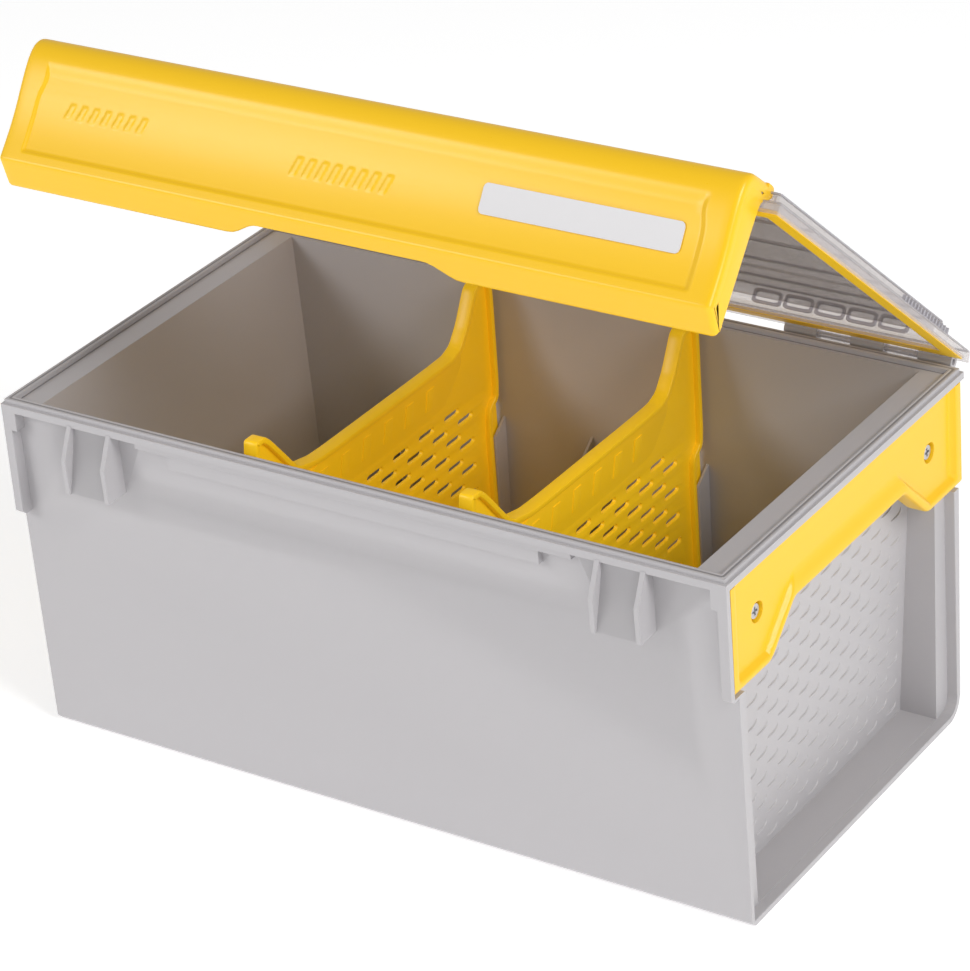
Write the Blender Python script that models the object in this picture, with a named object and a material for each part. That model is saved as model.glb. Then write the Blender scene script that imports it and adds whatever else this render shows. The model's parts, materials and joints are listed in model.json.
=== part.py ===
"""Utility box: moulded tub, clear lid tray, one-hand latch cover, grip plates and two lift-out dividers.

Metres, +Z up, X along the length, -Y is the front. The origin is the bottom centre of the tub.
The lid stands half open. Its parts are made in the closed lid's own frame (y = 0 and z = 0 on the
hinge axis) and hang on an empty there; the latch hangs on a second empty, on its own pivot.
"""

import math

import bmesh
import bpy
import numpy as np

GAP = 0.0003  # between pieces that rest on each other

# Tub
LENGTH = 0.370
RIM_DEPTH = 0.2066
RIM_Z = 0.1695  # top of the flat rim
RIM_DROP = 0.0035  # height of the rim flange
BEAD_RISE = 0.0020
BEAD_INSET = 0.0014
BEAD_WIDTH = 0.0036
RIM_OVERHANG = 0.0055  # rim flange in front of the wall
WALL = 0.0022
FLOOR = 0.0030
DRAFT_Y = 0.0028  # each long wall leans in by this over its height
END_INSET_TOP = 0.0175  # from the tub's end to the compartments at the top
END_INSET_FOOT = 0.0255  # and at the floor
PANEL = 0.0022  # thickness of the recessed end panels
FRAME_STEP = 0.0050  # depth of the outer step round an end recess
FRAME_EDGE = 0.0025  # thickness of the tub's edge round the outer step, at the foot
JAMB_FOOT = 0.0113  # from the recess's outer step to its inner one, at the sill
JAMB_HEAD = 0.0080  # and under the rim
HEEL_RADIUS = 0.0110  # rounding of the rear bottom edge
TOE = 0.0030  # chamfer of the front bottom edge

# Latch catches, posts and centre pad on the front wall
CATCH_INSET = 0.0492  # from the tub's end to the middle of a catch
CATCH_WIDTH = 0.0238
CATCH_BOTTOM = 0.1360
CATCH_REACH = 0.0070  # in front of the rim
CATCH_CHEEK = 0.0022
POST_WIDTH = 0.0075
POST_FOOT_Z = 0.1140
POST_STEP_Z = 0.1570
POST_FOOT_WIDTH = 0.0045
PAD_INSET = 0.0900
PAD_BOTTOM = 0.1560
PAD_BEAD_INSET = 0.0735

# Divider slots
SLOT_PITCH = 0.0552
SLOT_COUNT = 5
SLOT_GAP = 0.0054
SLOT_RIB = 0.0012
SLOT_RIB_REACH = 0.0080
SLOT_RIB_TOP = 0.1000

# Hinge
HINGE_BEHIND = 0.0037  # axis behind the rim
HINGE_Z = 0.1710
KNUCKLE_RADIUS = 0.0031
PIN_RADIUS = 0.0013
PIN_PLAY = 0.0002
HINGE_INSET = 0.0895  # from the tub's end to the first knuckle
KNUCKLE_PITCH = 0.0166
KNUCKLE_PLAY = 0.0004
KNUCKLE_COUNT = 5
OPEN_ANGLE = math.radians(40.8)

# Lid, heights above the hinge axis
LID_REAR = 0.0004
LID_UNDER = 0.0010
FLANGE_TOP = 0.0058
CROWN_TOP = 0.0106
LID_WALL = 0.0020
CROWN_INSET_X = 0.0030
CROWN_REAR = 0.0280
CROWN_SETBACK = 0.0041  # behind the lid's front edge
GASKET_HEIGHT = 0.0018
GASKET_WIDTH = 0.0070
GASKET_SIDE_INSET = 0.0009
GASKET_REAR = 0.0056
GASKET_LIP = 0.0009  # wall of the gasket's groove round the lid's mouth
LID_RIB_SHARES = (0.366, 0.618)  # of the lid's depth

# Latch cover, measured from its pivot: p forward, q down
LATCH_INSET = 0.0080  # from the lid's ends
PIVOT_AHEAD = 0.0017  # of the lid's front edge
PIVOT_UP = 0.0088
LATCH_WALL = 0.0020
LATCH_FACE = 0.0129
LATCH_DROP = 0.0608
LATCH_PIN_RADIUS = 0.0011
LATCH_PIN_PLAY = 0.0002
EAR_PLAY = 0.0005
EAR_WIDTH = 0.0060
HOOK_WIDTH = 0.0140

LABEL_LENGTH, LABEL_INSET = 0.0933, 0.0207
LABEL_TOP, LABEL_HEIGHT = 0.0212, 0.0128
LABEL_THICK = 0.0004

# Grip plates
PLATE_THICK = 0.0030
PLATE_INSET = 0.0033  # from the rim's corners
PLATE_HEIGHT = 0.0498
GRIP_INSET = 0.0548  # from the rim's corners to the raised grip
GRIP_RISE = 0.0195
GRIP_SLOPE = 0.0205
GRIP_RETURN = 0.0085
GRIP_LIP = 0.0025
SCREW_INSET = 0.0280  # from the rim's corners
SCREW_DROP = 0.0235  # under the rim
CUP_DEPTH = 0.0030
CUP_RADIUS = 0.0046
CUP_WALL = 0.0016
HEAD_RADIUS = 0.0033
HEAD_HEIGHT = 0.0018
SHANK_RADIUS = 0.0014
SHANK_LENGTH = 0.0085
SCREW_PLAY = 0.0003
BOSS_RADIUS = 0.0040

# Dividers
DIVIDER_X = SLOT_PITCH
DIVIDER_WEB = 0.0020
DIVIDER_FLANGE = 0.0070
DIVIDER_RIM = 0.0020
DIVIDER_DIP = 0.0232  # its low middle under the rim
TAB_RISE = 0.0053  # over the rim, at the front
POST_RISE = 0.0039  # over the rim, at the rear
POST_TOP_WIDTH, POST_REACH, POST_BEND = 0.0141, 0.0238, 0.0150
TAB_TOP_WIDTH, TAB_REACH = 0.0089, 0.0319
DIVIDER_PLAY = 0.0006
VENT_LENGTH, VENT_HEIGHT = 0.0125, 0.0030
VENT_PITCH, VENT_ROW = 0.0210, 0.00665
VENT_DROP = 0.0522  # the top row under the rim
VENT_ROWS = 14

GREY = (0.505, 0.492, 0.510)
YELLOW = (0.900, 0.560, 0.055)
CLEAR = (0.80, 0.81, 0.84)
STEEL = (0.62, 0.62, 0.64)
PAPER = (0.90, 0.90, 0.89)

half = LENGTH / 2
rimFront = -RIM_DEPTH / 2
wallTop = RIM_DEPTH / 2 - RIM_OVERHANG
wallFoot = wallTop - DRAFT_Y
rimUnder = RIM_Z - RIM_DROP
hingeY = RIM_DEPTH / 2 + HINGE_BEHIND
cavityTop = half - END_INSET_TOP
cavityFoot = half - END_INSET_FOOT
lidFront = hingeY - rimFront
crownFront = lidFront - CROWN_SETBACK
pivotBack = lidFront + PIVOT_AHEAD
latchHalf = half - LATCH_INSET
catchX = half - CATCH_INSET
plateTop = rimUnder - GAP + 0.0001
plateFoot = plateTop - PLATE_HEIGHT
plateHalf = -rimFront - PLATE_INSET
gripHalf = -rimFront - GRIP_INSET
gripZ = plateFoot + GRIP_RISE
screwY = -rimFront - SCREW_INSET
screwZ = rimUnder - SCREW_DROP


def material(name, colour, roughness, metallic=0.0, alpha=1.0):
    made = bpy.data.materials.new(name)
    made.use_nodes = True
    shader = made.node_tree.nodes["Principled BSDF"]
    shader.inputs["Base Color"].default_value = (*colour, 1.0)
    shader.inputs["Roughness"].default_value = roughness
    shader.inputs["Metallic"].default_value = metallic
    shader.inputs["Alpha"].default_value = alpha
    return made


def place(bm, name, parent=None, helper=False):
    """The bmesh as an object with its faces pointing out."""
    bmesh.ops.recalc_face_normals(bm, faces=bm.faces)
    mesh = bpy.data.meshes.new(name)
    bm.to_mesh(mesh)
    bm.free()
    made = bpy.data.objects.new(name, mesh)
    bpy.context.scene.collection.objects.link(made)
    made.parent = parent
    if helper:
        made.hide_render = True
        made.display_type = "WIRE"
    return made


def loft(sections):
    """A closed bmesh through rings of equal point count, capped at both ends."""
    bm = bmesh.new()
    rings = [[bm.verts.new(point) for point in ring] for ring in sections]
    count = len(rings[0])
    for low, high in zip(rings, rings[1:]):
        for i in range(count):
            j = (i + 1) % count
            bm.faces.new((low[i], low[j], high[j], high[i]))
    bm.faces.new(rings[0])
    bm.faces.new(rings[-1])
    return bm


def box(low, high):
    corners = ((0, 0), (1, 0), (1, 1), (0, 1))
    pick = [(low[k], high[k]) for k in range(3)]
    return loft([[(pick[0][a], pick[1][b], pick[2][c]) for a, b in corners] for c in (0, 1)])


def frustum(x0, y0, z0, x1, y1, z1):
    """A box centred on the origin's column, x0 by y0 half sizes at z0 and x1 by y1 at z1."""
    signs = ((-1, -1), (1, -1), (1, 1), (-1, 1))
    return loft([[(sx * x, sy * y, z) for sx, sy in signs] for x, y, z in ((x0, y0, z0), (x1, y1, z1))])


def prism_x(outline, x0, x1):
    """The (y, z) outline carried along X."""
    return loft([[(x, y, z) for y, z in outline] for x in (x0, x1)])


def rod_x(x0, x1, y, z, radius, sides=24):
    turn = [2 * math.pi * (k + 0.5) / sides for k in range(sides)]
    return prism_x([(y + radius * math.cos(a), z + radius * math.sin(a)) for a in turn], x0, x1)


def ring_prism(outer, inner, z0, z1):
    """A frame between two rectangles given as (x0, x1, y0, y1)."""
    def corners(r):
        return ((r[0], r[2]), (r[1], r[2]), (r[1], r[3]), (r[0], r[3]))
    bm = bmesh.new()
    loops = [[bm.verts.new((x, y, z)) for x, y in corners(r)]
             for r, z in ((outer, z0), (outer, z1), (inner, z1), (inner, z0))]
    for a, b in zip(loops, loops[1:] + loops[:1]):
        for i in range(4):
            j = (i + 1) % 4
            bm.faces.new((a[i], a[j], b[j], b[i]))
    return bm


def boolean(target, tool, operation):
    step = target.modifiers.new(operation.lower(), "BOOLEAN")
    step.operation = operation
    step.solver = "EXACT"
    step.object = tool


def cut(target, bm, parent=None):
    boolean(target, place(bm, target.name + "_cut", parent, helper=True), "DIFFERENCE")


def join(target, bm, parent=None):
    boolean(target, place(bm, target.name + "_add", parent, helper=True), "UNION")


def finish(made, surface, smooth=False):
    made.data.materials.append(surface)
    if smooth:
        made.data.shade_smooth()
        made.data.set_sharp_from_angle(angle=math.radians(35))


def arc(cy, cz, radius, start, end, steps):
    """Points (y, z) on an arc, angles in degrees."""
    angles = np.radians(np.linspace(start, end, steps + 1))
    return [(cy + radius * math.cos(a), cz + radius * math.sin(a)) for a in angles]


def wall_y(z):
    """Outer face of the long walls at height z."""
    return wallFoot + DRAFT_Y * z / rimUnder


def inner_y(z):
    """Inner face of the long walls at height z."""
    return wallFoot - WALL + DRAFT_Y * (z - FLOOR) / (RIM_Z - FLOOR)


def panel_x(z):
    """Outer face of a recessed end panel at height z."""
    share = (z - FLOOR) / (RIM_Z - FLOOR)
    return cavityFoot + PANEL + (cavityTop - cavityFoot) * share


def knuckle_span(index):
    start = half - HINGE_INSET + KNUCKLE_PITCH * index
    return start + KNUCKLE_PLAY / 2, start + KNUCKLE_PITCH - KNUCKLE_PLAY / 2


def mirrored(x0, x1, side):
    return (x0, x1) if side > 0 else (-x1, -x0)


def make_tub(surface):
    tub = place(frustum(half, wallFoot, 0, half, wallTop, rimUnder + 0.001), "tub")
    join(tub, box((-half, rimFront, rimUnder), (half, -rimFront, RIM_Z)))
    bead = half - BEAD_INSET, RIM_DEPTH / 2 - BEAD_INSET
    inner = bead[0] - BEAD_WIDTH, bead[1] - BEAD_WIDTH
    join(tub, ring_prism((-bead[0], bead[0], -bead[1], bead[1]), (-inner[0], inner[0], -inner[1], inner[1]),
                         RIM_Z - 0.001, RIM_Z + BEAD_RISE))
    cavity_y = wallTop - WALL, wallFoot - WALL
    rise = (cavityTop - cavityFoot) / (RIM_Z - FLOOR)
    over = 0.002
    cut(tub, frustum(cavityFoot, cavity_y[1], FLOOR,
                     cavityTop + rise * over, cavity_y[0], RIM_Z + over))
    round_foot(tub)
    for side in (-1, 1):
        add_post(tub, side)
        cut_end(tub, side)
        add_catch(tub, side)
        add_knuckles(tub, side)
    strip = 0.0016
    pad_half, bead_half = half - PAD_INSET, half - PAD_BEAD_INSET
    pad_front = -wall_y(PAD_BOTTOM) - 0.0035
    join(tub, box((-pad_half, pad_front, PAD_BOTTOM), (pad_half, -wallTop + 0.001, rimUnder + 0.0005)))
    join(tub, box((-bead_half, pad_front - 0.001, rimUnder - 2 * strip),
                  (bead_half, -wallTop + 0.001, rimUnder + 0.0005)))
    for index in range(SLOT_COUNT):
        add_slot(tub, (index - (SLOT_COUNT - 1) / 2) * SLOT_PITCH)
    finish(tub, surface)
    return tub


def cut_end(tub, side):
    """The stepped recess of one end, the seat of its grip plate, the screw bosses and the rounded heels."""
    far = half + 0.002
    seat_z = plateFoot - GAP - 0.0005
    plate_back = half - PLATE_THICK - GAP
    def ends(x0, x1):
        return mirrored(x0, x1, side)
    a, b = ends(half - FRAME_STEP, far)
    step_y = wallFoot - FRAME_EDGE
    turn = HEEL_RADIUS - FLOOR
    step = [(-step_y, rimUnder), (-step_y, FLOOR)] + arc(step_y - turn, HEEL_RADIUS, turn, 270, 360, 6)
    cut(tub, prism_x(step + [(step_y, rimUnder)], a, b))
    top = rimUnder - 0.0004
    low, high = panel_x(FLOOR + 0.0004), panel_x(top)
    outer = half - FRAME_STEP + 0.0005
    outline = [(side * x, z) for x, z in ((low, FLOOR + 0.0004), (outer, FLOOR + 0.0004), (outer, top), (high, top))]
    spread = {FLOOR + 0.0004: step_y - JAMB_FOOT, top: step_y - JAMB_HEAD}
    cut(tub, loft([[(x, y * spread[z], z) for x, z in outline] for y in (-1, 1)]))
    a, b = ends(plate_back, far)
    cut(tub, box((a, -plateHalf - GAP, seat_z), (b, plateHalf + GAP, rimUnder)))
    boss_end = half - PLATE_THICK - CUP_DEPTH - CUP_WALL - GAP
    for y in (-screwY, screwY):
        a, b = ends(panel_x(screwZ) - 0.001, boss_end)
        join(tub, rod_x(a, b, y, screwZ, BOSS_RADIUS, 20))
        a, b = ends(boss_end - SHANK_LENGTH, far)
        cut(tub, rod_x(a, b, y, screwZ, SHANK_RADIUS + SCREW_PLAY, 14))


def round_foot(tub):
    """The rear bottom edge is rounded outside and inside; the front one has a small chamfer."""
    far = half + 0.002
    centre = wallFoot - HEEL_RADIUS
    inside = arc(centre, HEEL_RADIUS, HEEL_RADIUS - WALL, 270, 360, 6)
    inside += [(wallFoot - WALL / 2, HEEL_RADIUS), (wallFoot - WALL / 2, FLOOR / 2), (centre, FLOOR / 2)]
    join(tub, prism_x(inside, -cavityFoot - 0.001, cavityFoot + 0.001))
    outside = arc(centre, HEEL_RADIUS, HEEL_RADIUS, 270, 354, 6)
    outside += [(wallFoot + 0.003, HEEL_RADIUS - 0.001), (wallFoot + 0.003, -0.002), (centre, -0.002)]
    cut(tub, prism_x(outside, -far, far))
    front = [(-wallFoot - 0.001, TOE + 0.001), (-wallFoot - 0.001, -0.001), (-wallFoot + TOE + 0.001, -0.001)]
    cut(tub, prism_x(front, -far, far))


def add_post(tub, side):
    """The guard beside the latch cover: wide above its step, narrow below."""
    back = -wall_y(POST_STEP_Z) + 0.0008
    a, b = mirrored(half - POST_WIDTH, half, side)
    join(tub, box((a, rimFront, POST_STEP_Z), (b, back, rimUnder + 0.0005)))
    a, b = mirrored(half - POST_FOOT_WIDTH, half, side)
    foot = [(back, POST_FOOT_Z), (rimFront + 0.002, POST_FOOT_Z), (rimFront, POST_FOOT_Z + 0.002),
            (rimFront, POST_STEP_Z + 0.001), (back, POST_STEP_Z + 0.001)]
    join(tub, prism_x(foot, a, b))


def add_catch(tub, side):
    """A sloping plate between two kite-shaped cheeks, which the hooks of the latch cover snap under."""
    x0, x1 = side * catchX - CATCH_WIDTH / 2, side * catchX + CATCH_WIDTH / 2
    back = -wall_y(CATCH_BOTTOM) + 0.0012
    front = rimFront - CATCH_REACH
    cheek = [(back, CATCH_BOTTOM), (front + 0.0005, CATCH_BOTTOM), (front, CATCH_BOTTOM + 0.0165),
             (rimFront - 0.0002, rimUnder + 0.0008), (back, rimUnder + 0.0008)]
    plate = [(back, CATCH_BOTTOM + 0.0002), (front + 0.0015, CATCH_BOTTOM + 0.0002),
             (rimFront + 0.0022, rimUnder + 0.0006), (back, rimUnder + 0.0006)]
    join(tub, prism_x(cheek, x0, x0 + CATCH_CHEEK))
    join(tub, prism_x(cheek, x1 - CATCH_CHEEK, x1))
    join(tub, prism_x(plate, x0 + CATCH_CHEEK / 2, x1 - CATCH_CHEEK / 2))


def add_knuckles(tub, side):
    """The tub's share of one hinge: barrels 0, 2 and 4 with webs down to the rim."""
    for index in range(0, KNUCKLE_COUNT, 2):
        a, b = mirrored(*knuckle_span(index), side)
        join(tub, rod_x(a, b, hingeY, HINGE_Z, KNUCKLE_RADIUS, 20))
        web = [(-rimFront - 0.001, RIM_Z - 0.0030), (hingeY + 0.0012, RIM_Z - 0.0012),
               (hingeY, HINGE_Z), (-rimFront - 0.001, RIM_Z - 0.0005)]
        join(tub, prism_x(web, a, b))
    first, last = knuckle_span(0)[0], knuckle_span(KNUCKLE_COUNT - 1)[1]
    a, b = mirrored(first - 0.001, last + 0.001, side)
    cut(tub, rod_x(a, b, hingeY, HINGE_Z, PIN_RADIUS + PIN_PLAY, 16))


def add_slot(tub, x):
    """Two ribs on each long wall that a divider slides down between."""
    for wall in (-1, 1):
        foot, head = inner_y(FLOOR) + WALL / 2, inner_y(SLOT_RIB_TOP) + WALL / 2
        tip = wallFoot - WALL - SLOT_RIB_REACH
        outline = [(wall * foot, FLOOR - 0.001), (wall * tip, FLOOR - 0.001),
                   (wall * tip, SLOT_RIB_TOP - 0.0080), (wall * head, SLOT_RIB_TOP)]
        for edge in (-1, 1):
            near = x + edge * SLOT_GAP / 2
            join(tub, prism_x(outline, min(near, near + edge * SLOT_RIB), max(near, near + edge * SLOT_RIB)))


def make_pin(name, x0, x1, y, z, radius, surface, parent=None):
    pin = place(rod_x(x0, x1, y, z, radius, 16), name, parent)
    finish(pin, surface, smooth=True)
    return pin


def make_grip_plate(name, side, surface):
    """A yellow end plate. Its lower edge is cut up in the middle for the fingers and turns inwards as a grip."""
    x0, x1 = mirrored(half - PLATE_THICK, half, side)
    slope = gripHalf + GRIP_SLOPE
    edge = [(slope, plateFoot), (gripHalf, gripZ), (-gripHalf, gripZ), (-slope, plateFoot)]
    outline = [(-plateHalf, plateTop), (-plateHalf, plateFoot)] + edge[::-1] + [
        (plateHalf, plateFoot), (plateHalf, plateTop)]
    plate = place(prism_x(outline, x0, x1), name)
    lip = GRIP_LIP
    band = edge + [(-slope - lip * 1.1, plateFoot), (-gripHalf - lip * 0.42, gripZ + lip),
                   (gripHalf + lip * 0.42, gripZ + lip), (slope + lip * 1.1, plateFoot)]
    a, b = mirrored(half - PLATE_THICK - GRIP_RETURN, half - PLATE_THICK / 2, side)
    join(plate, prism_x(band, a, b))
    a, b = mirrored(half - PLATE_THICK - CUP_DEPTH - CUP_WALL, half - PLATE_THICK / 2, side)
    for y in (-screwY, screwY):
        join(plate, rod_x(a, b, y, screwZ, CUP_RADIUS + CUP_WALL, 24))
    for y in (-screwY, screwY):
        c, d = mirrored(half - PLATE_THICK - CUP_DEPTH, half + 0.001, side)
        cut(plate, rod_x(c, d, y, screwZ, CUP_RADIUS, 24))
        c, d = mirrored(half - PLATE_THICK - CUP_DEPTH - 2 * CUP_WALL, half, side)
        cut(plate, rod_x(c, d, y, screwZ, SHANK_RADIUS + SCREW_PLAY, 14))
    finish(plate, surface)
    return plate


def make_screw(name, side, y, surface):
    """Cross-recess screw whose head rests on the floor of the plate's cup."""
    seat = half - PLATE_THICK - CUP_DEPTH + GAP
    a, b = mirrored(seat, seat + HEAD_HEIGHT, side)
    screw = place(rod_x(a, b, y, screwZ, HEAD_RADIUS, 20), name)
    a, b = mirrored(seat - SHANK_LENGTH + 0.001, seat + HEAD_HEIGHT / 2, side)
    join(screw, rod_x(a, b, y, screwZ, SHANK_RADIUS, 12))
    a, b = mirrored(seat + HEAD_HEIGHT * 0.4, seat + HEAD_HEIGHT * 2, side)
    arm, blade = HEAD_RADIUS * 0.6, HEAD_RADIUS * 0.16
    cut(screw, box((a, y - arm, screwZ - blade), (b, y + arm, screwZ + blade)))
    cut(screw, box((a, y - blade, screwZ - arm), (b, y + blade, screwZ + arm)))
    finish(screw, surface, smooth=True)
    return screw


def divider_outline(inset):
    """The divider's edge in (y, z), from the rear foot up and over to the front foot, drawn in by inset."""
    mouth_rear, mouth_front = gasket_inner()[2] + GASKET_LIP, gasket_inner()[1] - GASKET_LIP
    rear_low, rear = inner_y(SLOT_RIB_TOP) - DIVIDER_PLAY, hingeY - mouth_rear - DIVIDER_PLAY
    slot_rear = wallFoot - WALL - SLOT_RIB_REACH - 0.0008
    front_low, front = DIVIDER_PLAY - inner_y(SLOT_RIB_TOP), hingeY - mouth_front + DIVIDER_PLAY
    foot = FLOOR + GAP + 0.0005
    ledge, tab, post = RIM_Z - DIVIDER_DIP, RIM_Z + TAB_RISE, RIM_Z + POST_RISE
    bend_y = rear - POST_TOP_WIDTH - POST_REACH
    points = [(slot_rear - inset, foot + inset), (slot_rear - inset, SLOT_RIB_TOP + 0.0050),
              (rear_low - inset, SLOT_RIB_TOP + 0.0110), (rear - inset, post - inset),
              (rear - POST_TOP_WIDTH + inset * 0.6, post - inset)]
    points += arc(bend_y, ledge + POST_BEND, POST_BEND + inset, 330, 270, 5)
    points += [(front + TAB_REACH - inset * 0.5, ledge - inset), (front + TAB_TOP_WIDTH - inset * 0.4, tab - inset),
               (front + inset, tab - inset), (front_low + inset, SLOT_RIB_TOP + 0.0110),
               (-slot_rear + inset, SLOT_RIB_TOP + 0.0050), (-slot_rear + inset, foot + inset)]
    return points


def make_divider(name, x, surface):
    """A flanged plate: a wide edge all round, a thin vented web inside it and tongues for the wall slots."""
    outer, inner = divider_outline(0.0), divider_outline(DIVIDER_RIM)
    wide, web = DIVIDER_FLANGE / 2, DIVIDER_WEB / 2
    divider = place(prism_x(outer, x - wide, x + wide), name)
    for near, far in ((-wide - 0.001, -web), (web, wide + 0.001)):
        cut(divider, prism_x(inner, x + near, x + far))
    tongue_out = wallFoot - WALL - DIVIDER_PLAY
    for wall in (-1, 1):
        root = wallFoot - WALL - SLOT_RIB_REACH - 0.0015
        foot = HEEL_RADIUS if wall > 0 else FLOOR + GAP
        tongue = [(wall * root, foot + 0.0006), (wall * tongue_out, foot + 0.0006),
                  (wall * tongue_out, SLOT_RIB_TOP + 0.0080), (wall * root, SLOT_RIB_TOP + 0.0080)]
        join(divider, prism_x(tongue, x - web, x + web))
    cut(divider, vents(x))
    finish(divider, surface)
    return divider


def vents(x):
    """Staggered rows of short slots through the web, as one cutter."""
    bm = bmesh.new()
    reach = wallFoot - WALL - SLOT_RIB_REACH - 0.004
    corners = ((-1, -1), (1, -1), (1, 1), (-1, 1))
    for row in range(VENT_ROWS):
        z = RIM_Z - VENT_DROP - row * VENT_ROW
        shift = 0.0135 + (0.5 * VENT_PITCH if row % 2 else 0)
        for column in range(-5, 5):
            y = shift + column * VENT_PITCH
            if abs(y) + VENT_LENGTH / 2 > reach:
                continue
            ring = [(y + u * VENT_LENGTH / 2, z + v * VENT_HEIGHT / 2) for u, v in corners]
            near, far = [[bm.verts.new((x + dx, py, pz)) for py, pz in ring] for dx in (-0.0015, 0.0015)]
            for i in range(4):
                j = (i + 1) % 4
                bm.faces.new((near[i], near[j], far[j], far[i]))
            bm.faces.new(near)
            bm.faces.new(far)
    return bm


def make_lid(axis, surface):
    """The clear lid: a flange with the gasket's groove under it, a raised hollow crown, hinge and latch ears."""
    outline = [(LID_REAR, LID_UNDER), (LID_REAR - 0.0022, FLANGE_TOP), (-lidFront, FLANGE_TOP),
               (-lidFront, LID_UNDER)]
    lid = place(prism_x(outline, -half, half), "lid_panel", axis)
    crown = half - CROWN_INSET_X
    slant = 0.0008
    join(lid, loft([[(sx * (crown - d), y, z) for sx, y in (
        (-1, -crownFront + d), (1, -crownFront + d), (1, -CROWN_REAR - d), (-1, -CROWN_REAR - d))]
        for d, z in ((0, FLANGE_TOP - 0.001), (slant, CROWN_TOP))]), axis)
    inner_x, inner_front, inner_rear = gasket_inner()
    shelf = LID_UNDER + GASKET_HEIGHT + 0.0016
    room = CROWN_TOP - LID_WALL
    cut(lid, box((-crown + LID_WALL + slant, -crownFront + LID_WALL + slant, shelf),
                 (crown - LID_WALL - slant, -CROWN_REAR - LID_WALL - slant, room)), axis)
    lip = GASKET_LIP
    cut(lid, box((-inner_x + lip, -inner_front + lip, -0.001), (inner_x - lip, -inner_rear - lip, shelf - 0.0012)), axis)
    cut(lid, box((-inner_x + lip + 0.0002, -inner_front + lip + 0.0002, -0.0008),
                 (inner_x - lip - 0.0002, -CROWN_REAR - LID_WALL - 0.001, shelf + 0.001)), axis)
    cut(lid, ring_prism(gasket_rectangle(-GAP, True), gasket_rectangle(-GAP, False), LID_UNDER - 0.001,
                        LID_UNDER + GASKET_HEIGHT + GAP - 0.0002), axis)
    for back in (share * lidFront for share in LID_RIB_SHARES):
        join(lid, box((-crown + 0.001, -back - 0.001, room - 0.0014), (crown - 0.001, -back + 0.001, room + 0.0005)), axis)
    for side in (-1, 1):
        add_lid_hinge(lid, side, axis)
        add_lid_ears(lid, side, axis)
    finish(lid, surface)
    return lid


def gasket_rectangle(grow, outer):
    """(x0, x1, y0, y1) of the gasket's outer or inner edge, its section grown by grow on both edges."""
    shrink = (0 if outer else GASKET_WIDTH) + (grow if outer else -grow)
    x = half - GASKET_SIDE_INSET - shrink
    return (-x, x, -lidFront + GASKET_SIDE_INSET + shrink, -GASKET_REAR - shrink)


def gasket_inner():
    x0, x1, y0, y1 = gasket_rectangle(0, False)
    return x1, -y0, -y1


def add_lid_hinge(lid, side, axis):
    """The lid's share of one hinge: barrels 1 and 3 with webs up to the flange."""
    for index in range(1, KNUCKLE_COUNT, 2):
        a, b = mirrored(*knuckle_span(index), side)
        join(lid, rod_x(a, b, 0, 0, KNUCKLE_RADIUS, 20), axis)
        web = [(-0.0024, 0.0008), (0.0014, 0.0010), (-0.0004, FLANGE_TOP - 0.002), (-0.0050, LID_UNDER + 0.001),
               (-0.0050, LID_UNDER - 0.0001)]
        join(lid, prism_x(web, a, b), axis)
    for index in range(0, KNUCKLE_COUNT, 2):
        a, b = knuckle_span(index)
        a, b = mirrored(a - KNUCKLE_PLAY, b + KNUCKLE_PLAY, side)
        cut(lid, rod_x(a, b, 0, 0, KNUCKLE_RADIUS + 0.0004, 20), axis)
    a, b = mirrored(knuckle_span(1)[0] - 0.001, knuckle_span(3)[1] + 0.001, side)
    cut(lid, rod_x(a, b, 0, 0, PIN_RADIUS + PIN_PLAY, 16), axis)


def add_lid_ears(lid, side, axis):
    """An ear for the latch pin, and the notch in the flange that the latch cover's own ear turns in."""
    ear_out = latchHalf - LATCH_WALL - EAR_PLAY
    radius = LATCH_PIN_RADIUS + 0.0010
    y, z = -pivotBack, PIVOT_UP
    ear = [(y + 0.0100, z - 0.0045), (y + 0.0100, z - 0.0007)]
    ear += arc(y, z, radius, -20, 240, 12)
    a, b = mirrored(ear_out - EAR_WIDTH, ear_out, side)
    join(lid, prism_x(ear, a, b), axis)
    c, d = mirrored(ear_out, latchHalf + 2 * EAR_PLAY, side)
    back, floor = y + 0.0105, LID_UNDER + GASKET_HEIGHT - 0.0001
    join(lid, box((c - LID_WALL, -crownFront + 0.001, floor + 0.001), (d + LID_WALL, back + LID_WALL, CROWN_TOP - 0.001)), axis)
    cut(lid, box((c, -lidFront - 0.002, floor), (d, back, CROWN_TOP + 0.002)), axis)
    a, b = mirrored(ear_out - EAR_WIDTH * 0.8, ear_out + 0.002, side)
    cut(lid, rod_x(a, b, y, z, LATCH_PIN_RADIUS + LATCH_PIN_PLAY, 16), axis)


def make_gasket(axis, surface):
    gasket = place(ring_prism(gasket_rectangle(0, True), gasket_rectangle(0, False),
                              LID_UNDER - 0.0002, LID_UNDER + GASKET_HEIGHT - GAP), "lid_gasket", axis)
    finish(gasket, surface)
    return gasket


def latch_outline():
    """Outer section of the latch cover from its rear top edge round the front to the lip, as (p, q)."""
    face = [(0.0098, -0.0041), (0.0128, -0.0022), (0.0150, 0.0018), (0.0160, 0.0070), (0.0150, 0.0180),
            (0.0134, 0.0290), (LATCH_FACE, 0.0380), (LATCH_FACE, 0.0520)]
    return [(-0.0030, -0.0044)] + face + [(0.0006, LATCH_DROP)]


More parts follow.
